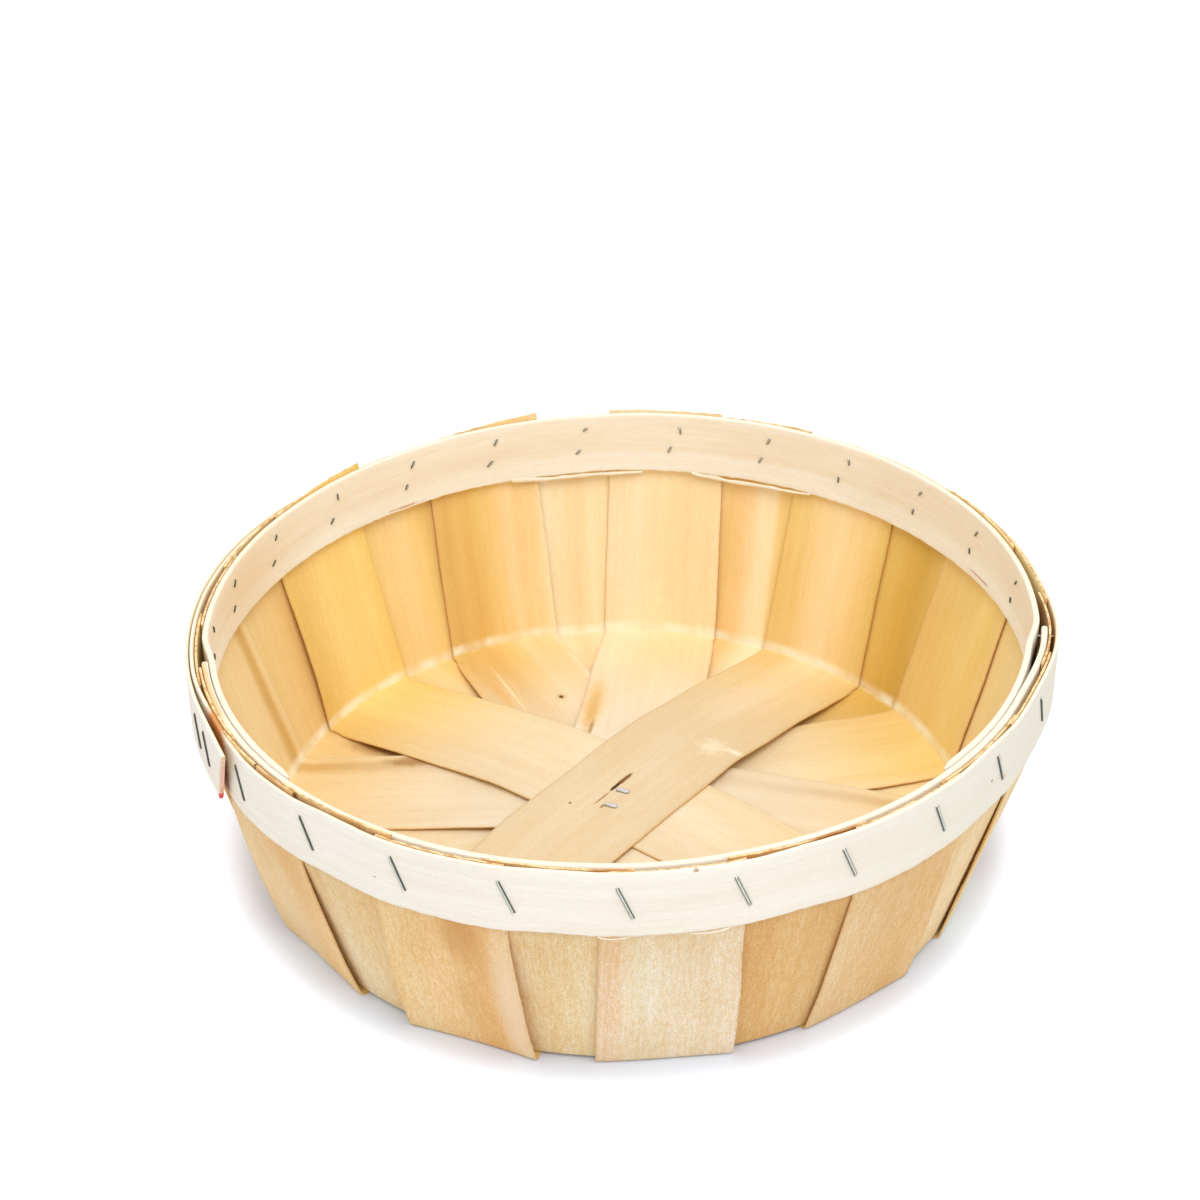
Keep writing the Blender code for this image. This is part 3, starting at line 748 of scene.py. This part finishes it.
innerBandLook = dict(
    woodBase, seed=90.0, wander=3.0 * mm, edge=0.15, topShadeAndBrown=0.0, bump=0.35,
    patch=(0.4, 0.4), streak=(0.4, 0.4), fibre=(0.3, 0.3), mottle=(0.15, 0.2), fuzz=(0.15, 0.25),
    cutTint=paint(250, 230, 204), cutShare=0.8, endLight=paint(246, 216, 176), endDark=paint(208, 156, 110),
    broadShades=((0.94, 0.88, 0.79, 1.0), (1.03, 1.04, 1.06, 1.0)),
    fineShades=((0.92, 0.87, 0.79, 1.0), (1.04, 1.06, 1.09, 1.0)),
    inside=tones(insideLight, (0, 251, 235, 210), (0.28, 250, 233, 206), (0.4, 247, 225, 192),
                 (0.8, 248, 225, 191), (1, 250, 231, 203)),
)
outerBandLook = dict(
    innerBandLook, seed=95.0, cutTint=paint(250, 236, 216),
    broadShades=((0.95, 0.91, 0.84, 1.0), (1.02, 1.03, 1.05, 1.0)),
    fineShades=((0.92, 0.89, 0.83, 1.0), (1.03, 1.05, 1.07, 1.0)),
    marks=(
        # painted shade, darkening the band's right side
        mark(880, 0, 190, 90, (228, 224, 208), 0.75, 1, True),
        # painted shade in the gap between the free end and the band beneath, orange-brown, then darker next
        # to the end
        mark(525, 4, 12.5, 22, (216, 146, 76), 0.95, 0.5, True),
        mark(530, -4, 7, 16, (150, 84, 44), 0.8, 0.8, True),
        mark(1461, 0, 3, 14, (246, 200, 186), 0.7, 0.8, True),
        mark(1462, -11.5, 3.5, 3, (222, 78, 84), 0.95, 0.5, True),
        mark(710, 12, 1.2, 0.8, (168, 126, 84), 0.8, 0.7, True),
        mark(609.7, -3.2, 0.8, 0.5, (190, 152, 104), 0.9, 0.7, True),
        mark(824.2, -1.3, 1, 0.7, (176, 122, 72), 0.9, 0.7, True),
        mark(832.5, -4.6, 2.6, 1.2, (236, 196, 140), 0.8, 0.8, True),
    ),
    outside=tones(outerBandLight, (0, 246, 241, 231), (0.5, 245, 239, 229), (1, 246, 241, 232)),
    inside=tones(insideLight, (0, 226, 184, 126), (1, 238, 204, 152)),
)
backLook = dict(innerBandLook, marks=(
    # painted shade, darker tan on the left of the band's inside
    mark(415, -2, 60, 40, (232, 208, 168), 0.6, 1),
    mark(321.5, -11.6, 9, 0.7, (206, 160, 104), 0.8, 0.6, False, 1),
    mark(52.5, -10, 10, 0.6, (196, 134, 96), 0.8, 0.6, False, 1),
    # painted shade in the wedge gap of the right lap, on the back strip's outside
    mark(-20, -6, 16, 17, (70, 42, 22), 0.9, 0.5, True),
))
frontLook = dict(innerBandLook, seed=92.0, marks=(
    mark(505, 13.2, 26, 1.6, (240, 196, 138), 0.8, 0.5, True),
    # painted shade in the wedge gap of the right lap, on the front strip's inside near its end
    mark(894, -6, 18, 18, (60, 36, 20), 0.9, 0.5),
))
bandParts = (
    ("inner_band_back", backStripRadius, backLook, "inner_band_wood"),
    ("inner_band_front", frontStripRadius, frontLook, "inner_band_wood"),
    ("outer_band", outerStripRadius, outerBandLook, "outer_band_wood"),
)
finishes = {}
for order, (name, radiusOf, look, slotName) in enumerate(bandParts):
    piece = makeBand(name, radiusOf, 300 + 10 * order)
    finishes[name] = woodFinish(name, dict(look, width=bands[name]["width"]))
    piece.data.materials.append(finishes[name])
    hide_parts(name)
    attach(piece, "root")

# Slivers torn from the bands' lower edges: the band, where each leaves it and where it ends in
# degrees, how far it sinks, how tall and thick it is and how far it stands off the band's face
slivers = (
    ("inner_band_back", 107.5, 86.0, 2.0 * mm, 2.0 * mm, 1.0 * mm, -0.3 * mm),
    ("inner_band_back", 78.0, 57.8, 2.3 * mm, 1.9 * mm, 1.0 * mm, -0.4 * mm),
    ("outer_band", 267.2, 270.6, 1.0 * mm, 0.5 * mm, 0.3 * mm, 1.5 * mm),
    ("outer_band", 282.8, 278.0, 1.0 * mm, 0.6 * mm, 0.3 * mm, 1.5 * mm),
)
sliverShape = {
    "rows": 120, "columns": 7, "above": 0.5 * mm, "taper": 0.97, "sineShare": 0.88, "roundness": 3.6,
    "tallWave": (4.0 * mm, 0.25), "sinkWave": (7.0 * mm, 0.1), "tallShare": 0.8,
}


def makeSliver(name, values, seed):
    # sinks under the edge and comes back by most of half a sine wave, thins towards its end by
    # the root of 1 less the cube of the way, and is round by the root of 1 less a square
    owner, start, end, sinks, talls, thick, off = values
    share = np.linspace(0.0, 1.0, sliverShape["rows"])[:, None]
    azimuth = np.radians(start + (end - start) * share)
    length = azimuth * rim["radius"]
    levels = np.linspace(-0.5, 0.5, sliverShape["columns"])[None, :]
    tallShare = sliverShape["tallShare"] + wavy(length, [sliverShape["tallWave"]], seed)
    tall = talls * np.sqrt(1.0 - sliverShape["taper"] * share**3) * tallShare
    sinkShare = np.sin(math.pi * sliverShape["sineShare"] * share**0.7)
    sink = sinks * (sinkShare + wavy(length, [sliverShape["sinkWave"]], seed + 1))
    height = rim["height"] - bands[owner]["width"] + sliverShape["above"] - sink + levels * tall
    radius = (outerStripRadius if owner == "outer_band" else backStripRadius)(azimuth) + off
    shares = np.sqrt(1.0 - sliverShape["roundness"] * levels**2)
    inner = placed(radius + thick * (1.0 - shares) / 2.0, azimuth, height)
    outer = placed(radius + thick * (1.0 + shares) / 2.0, azimuth, height)
    return sheet(name, outer, inner, length, levels * tall)


for number, values in enumerate(slivers, start=1):
    owner = values[0]
    piece = makeSliver(f"{owner}_sliver_{number}", values, 700 + 10 * number)
    piece.data.materials.append(finishes[owner])
    owner.split("_")[0] + "_band_wood"
    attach(piece, "root")
print("bands made")


# The rim staples: where they stand, their crown, their clinched tips and how far these turn
# aside, vary and thin down, their wire, and how far it stands off the bands
staple = {
    "count": 25, "first": 8.5, "lap": 205.3, "crown": 12.7 * mm, "height": 84.6 * mm, "slant": 22.0,
    "clinch": 2.8 * mm, "tipTurn": 34.0, "tipSpread": 0.22, "tipShare": 0.74, "tipSeed": 23,
    "width": 1.1 * mm, "thick": 0.8 * mm, "bend": 0.75 * mm, "bendSteps": 5,
    "pointAt": 0.12, "pointShare": 0.45, "outsideBy": 0.28 * mm, "insideBy": 0.35 * mm,
}
# How far each rim staple strays from its even place, in shares of the way to the next
strays = (0.0, 0.01, -0.01, 0.02, -0.01, 0.03, 0.06, 0.08, 0.08, 0.12, 0.12, 0.05, -0.07,
          0.37, 0.29, 0.27, 0.26, 0.22, 0.19, 0.15, 0.10, 0.08, 0.0, -0.02, 0.0)
steel = {
    "scratchScale": (1400.0, 1400.0, 500.0), "litFrom": 0.25, "litTo": 0.8, "metal": 0.7,
    "rough": 0.3, "roughScratch": 0.25, "bump": 0.25, "bumpDepth": 0.1 * mm,
}


def steelFinish(name, edgeTone, litMiddleTone):
    # drawn wire: dark grey steel, paler along its middle as a painted highlight of its lit flat top, with
    # fine scratches
    material, tree, shader = newTree(name)
    across = grainOf(tree)[1]
    place = addNode(tree, "ShaderNodeTexCoord", {}, {}, 3)
    stretched = addNode(tree, "ShaderNodeMapping", {}, {0: place, 3: steel["scratchScale"]})
    scratches = noise(tree, stretched, 3.0)
    # painted highlight: the middle of the wire is paler, broken up by the scratches, as where light catches
    # its flat top
    litMiddle = (1.0 - stepped(abs(across), steel["litFrom"], steel["litTo"])) * (scratches * 0.8 + 0.5)
    colour = mixed(tree, litMiddle, edgeTone, litMiddleTone)
    rough = scratches * steel["roughScratch"] + steel["rough"]
    feed(shader, {"Base Color": colour, "Roughness": rough, "Metallic": steel["metal"]})
    feed(shader, {"Normal": bumped(tree, scratches, steel)})
    return material


# the second tone of each is the painted highlight along the middle of the wire
rimSteel = steelFinish("rim_staple_steel", paint(84, 86, 80), paint(208, 210, 202))
floorSteel = steelFinish("floor_staple_steel", paint(168, 166, 166), paint(236, 232, 234))


def wireProfile(width, thickness):
    # a flattened round of 14 points: width by thickness, squared off by a power under 1
    angle = np.linspace(0.0, turn, 14, endpoint=False)
    wide = np.sign(np.cos(angle)) * np.abs(np.cos(angle)) ** 0.6 * width / 2.0
    thick = np.sign(np.sin(angle)) * np.abs(np.sin(angle)) ** 0.75 * thickness / 2.0
    return np.stack([wide, thick], axis=1)


def rounded(points, radius, steps):
    # a path whose corners are rounded by a quadratic curve that starts radius before each
    path = [points[0]]
    for before, corner, after in zip(points, points[1:], points[2:]):
        first = corner + radius * (before - corner) / np.linalg.norm(before - corner)
        last = corner + radius * (after - corner) / np.linalg.norm(after - corner)
        t = np.linspace(0.0, 1.0, steps)[:, None]
        path.extend((1.0 - t) ** 2 * first + 2.0 * t * (1.0 - t) * corner + t**2 * last)
    path.append(points[-1])
    return np.array(path)


def clinchedTip(leg, along, radial, draws):
    # where a tip ends: along the wood from its leg, turned aside by the sine and cosine of one
    # draw's angle and varied in length by the other; both draws are from -1 to 1
    aside = math.radians(staple["tipTurn"]) * draws[0]
    reach = staple["clinch"] * (1.0 + staple["tipSpread"] * draws[1])
    return leg + reach * (math.cos(aside) * along + math.sin(aside) * np.cross(radial, along))


def makeStaple(name, points, width, finish, tipSideways=None, tipShare=1.0):
    # the wire lies flat against the wood along its crown, and its clinched tips too where
    # tipSideways says which way their width lies; tipShare thins them, and pointShare their points
    path = rounded(points, staple["bend"], staple["bendSteps"])
    first = points[0] + staple["pointAt"] * (points[1] - points[0])
    last = points[-1] + staple["pointAt"] * (points[-2] - points[-1])
    path = np.concatenate([path[:1], [first], path[1:-1], [last], path[-1:]])
    tipRows = staple["bendSteps"] + 2
    plane = np.cross(points[2] - points[1], points[3] - points[2])
    sideways = np.tile(plane / np.linalg.norm(plane), (len(path), 1))
    scale = np.ones(len(path))
    for rows in (slice(None, tipRows), slice(-tipRows, None)):
        scale[rows] = tipShare
        if tipSideways is not None:
            sideways[rows] = tipSideways
    scale[[0, -1]] *= staple["pointShare"]
    made = swept(name + "_wire", path, sideways, wireProfile(width, staple["thick"]), scale)
    made.data.materials.append(finish)
    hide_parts(name)
    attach(made, "root")


places = (np.arange(staple["count"]) + strays) * turn / staple["count"] + math.radians(staple["first"])
azimuths = [*places, math.radians(staple["lap"])]
tipDraws = np.random.default_rng(staple["tipSeed"]).uniform(-1.0, 1.0, (len(azimuths), 2, 2))
swing = staple["crown"] * math.sin(math.radians(staple["slant"])) / outerBandRadius / 2.0
reach = staple["crown"] * math.cos(math.radians(staple["slant"])) / 2.0
for number, (azimuth, draws) in enumerate(zip(azimuths, tipDraws), start=1):
    legs = []
    for sign in (1.0, -1.0):
        at = azimuth - sign * swing
        height = staple["height"] + sign * reach
        outside = outermostFace(at) + staple["outsideBy"]
        inside = innermostFace(at) - staple["insideBy"]
        legs.append((placed(outside, at, height), placed(inside, at, height)))
    (upperOut, upperIn), (lowerOut, lowerIn) = legs
    along = (lowerIn - upperIn) / np.linalg.norm(lowerIn - upperIn)
    upperTip = clinchedTip(upperIn, along, heading(azimuth), draws[0])
    lowerTip = clinchedTip(lowerIn, -along, heading(azimuth), draws[1])
    points = [upperTip, upperIn, upperOut, lowerOut, lowerIn, lowerTip]
    makeStaple(f"rim_staple_{number:02d}", points, staple["width"], rimSteel, None, staple["tipShare"])

# The floor staple: its crown and its direction, how far and which way its middle is off the
# basket's, its clinched tips, and how high crown and tips lie
floorStaple = {
    "width": 2.1 * mm, "crown": 10.0 * mm, "at": 63.0, "shift": 5.7 * mm, "shiftTo": 231.0,
    "clinch": 4.9 * mm, "clinchTo": -23.0, "low": 0.8 * mm, "overPile": 0.35 * mm,
}
pileTop = web["lift"] + (2 * web["count"] - 1) * pitch + web["thickness"]
alongFloor = heading(math.radians(floorStaple["at"]))
middle = floorStaple["shift"] * heading(math.radians(floorStaple["shiftTo"]))
fold = floorStaple["clinch"] * heading(math.radians(floorStaple["clinchTo"]))
upward = np.array([0.0, 0.0, 1.0])
feet = [middle + sign * floorStaple["crown"] / 2.0 * alongFloor for sign in (1.0, -1.0)]
lows = [foot + upward * floorStaple["low"] for foot in feet]
highs = [foot + upward * (pileTop + floorStaple["overPile"]) for foot in feet]
points = [highs[0] + fold, highs[0], lows[0], lows[1], highs[1], highs[1] + fold]
makeStaple("floor_staple", points, floorStaple["width"], floorSteel, alongFloor)
print("staples made")


# The white studio: what the camera sees of the table and the sky glows, the rest only lights
studio = {
    "tableSize": 3.0, "tableTone": 0.75, "shadowTone": (0.80, 0.87, 1.0, 1.0), "tableGlow": 0.4,
    # glowFrom and glowTo bound the ring of painted shadow round the foot
    "glowFrom": 134.0 * mm, "glowTo": 152.0 * mm, "sky": 0.9,
    "key": 9.5, "keySize": 1.0, "keyAt": (0.15, -0.5, 1.35), "keyTo": (0.0, 0.0, 0.05),
}
# The photograph's camera: its place in radii of the rim from the middle, its turns in degrees,
# and its focal length in pixels of an image this wide
photoCamera = {
    "away": 4.991, "aboveRim": 3.815, "yaw": -0.53, "tilt": 32.17, "roll": -0.78,
    "focal": 2418.0, "imageWidth": 1200.0, "sensor": 36.0,
}


def grey(level):
    # a colour without hue
    return (level, level, level, 1.0)


def seenFrom(tree):
    # whether a ray comes from the camera, and whether from the camera or a mirroring surface
    path = tree.nodes.new("ShaderNodeLightPath")
    camera = Signal(tree, path.outputs["Is Camera Ray"])
    return camera, camera.math("MAXIMUM", Signal(tree, path.outputs["Is Glossy Ray"]))


def makeStage():
    # a large square table, white to the camera, that glows from a ring round the foot outwards; inside the
    # ring the missing glow paints a shadow round the foot over the rendered one
    mesh = bpy.data.meshes.new("table")
    size = studio["tableSize"]
    corners = [(-size, -size, 0.0), (size, -size, 0.0), (size, size, 0.0), (-size, size, 0.0)]
    mesh.from_pydata(corners, [], [(0, 1, 2, 3)])
    table = bpy.data.objects.new("table", mesh)
    bpy.context.scene.collection.objects.link(table)
    material, tree, shader = newTree("table")
    camera, seen = seenFrom(tree)
    place = addNode(tree, "ShaderNodeTexCoord", {}, {}, 3)
    distance = addNode(tree, "ShaderNodeVectorMath", {"operation": "LENGTH"}, {0: place}, 1)
    # no glow near the foot: painted shadow round the foot, on top of the rendered shadow
    far = stepped(distance, studio["glowFrom"], studio["glowTo"])
    glow = mixed(tree, seen * far, grey(0.0), grey(studio["tableGlow"]))
    tone = mixed(tree, camera, grey(studio["tableTone"]), studio["shadowTone"])
    feed(shader, {"Base Color": tone, "Roughness": 1.0, "Specular IOR Level": 0.0})
    feed(shader, {"Emission Color": glow, "Emission Strength": 1.0})
    mesh.materials.append(material)


def makeLight():
    # an even sky, white to the camera, and one large soft lamp over the front
    world = bpy.data.worlds.new("studio")
    bpy.context.scene.world = world
    world.use_nodes = True
    tree = world.node_tree
    camera, seen = seenFrom(tree)
    tone = mixed(tree, seen, grey(studio["sky"]), grey(1.0))
    feed(tree.nodes["Background"], {"Color": tone, "Strength": 1.0})
    lamp = bpy.data.lights.new("softbox", "AREA")
    lamp.shape = "DISK"
    lamp.size = studio["keySize"]
    lamp.energy = studio["key"]
    key = bpy.data.objects.new("softbox", lamp)
    key.location = studio["keyAt"]
    key.rotation_mode = "QUATERNION"
    key.rotation_quaternion = (Vector(studio["keyTo"]) - key.location).to_track_quat("-Z", "Y")
    bpy.context.scene.collection.objects.link(key)


def makeCamera():
    # looks along its yaw and tilt, then rolls about that line
    yaw, tilt, roll = (math.radians(photoCamera[key]) for key in ("yaw", "tilt", "roll"))
    forward = Vector((math.sin(yaw) * math.cos(tilt), math.cos(yaw) * math.cos(tilt), -math.sin(tilt)))
    right = forward.cross(Vector((0, 0, 1))).normalized()
    above = right.cross(forward)
    turnedRight = right * math.cos(roll) + above * math.sin(roll)
    turnedUp = above * math.cos(roll) - right * math.sin(roll)
    matrix = Matrix((turnedRight, turnedUp, -forward)).transposed().to_4x4()
    matrix.translation = (0.0, -photoCamera["away"] * rim["radius"], photoCamera["aboveRim"] * rim["radius"])
    data = bpy.data.cameras.new("camera")
    data.sensor_width = photoCamera["sensor"]
    data.lens = photoCamera["focal"] / photoCamera["imageWidth"] * photoCamera["sensor"]
    camera = bpy.data.objects.new("camera", data)
    camera.matrix_world = matrix
    bpy.context.scene.collection.objects.link(camera)
    bpy.context.scene.camera = camera


makeStage()
makeLight()
makeCamera()
bpy.context.scene.view_settings.view_transform = "Standard"
print("stage, light and camera set")
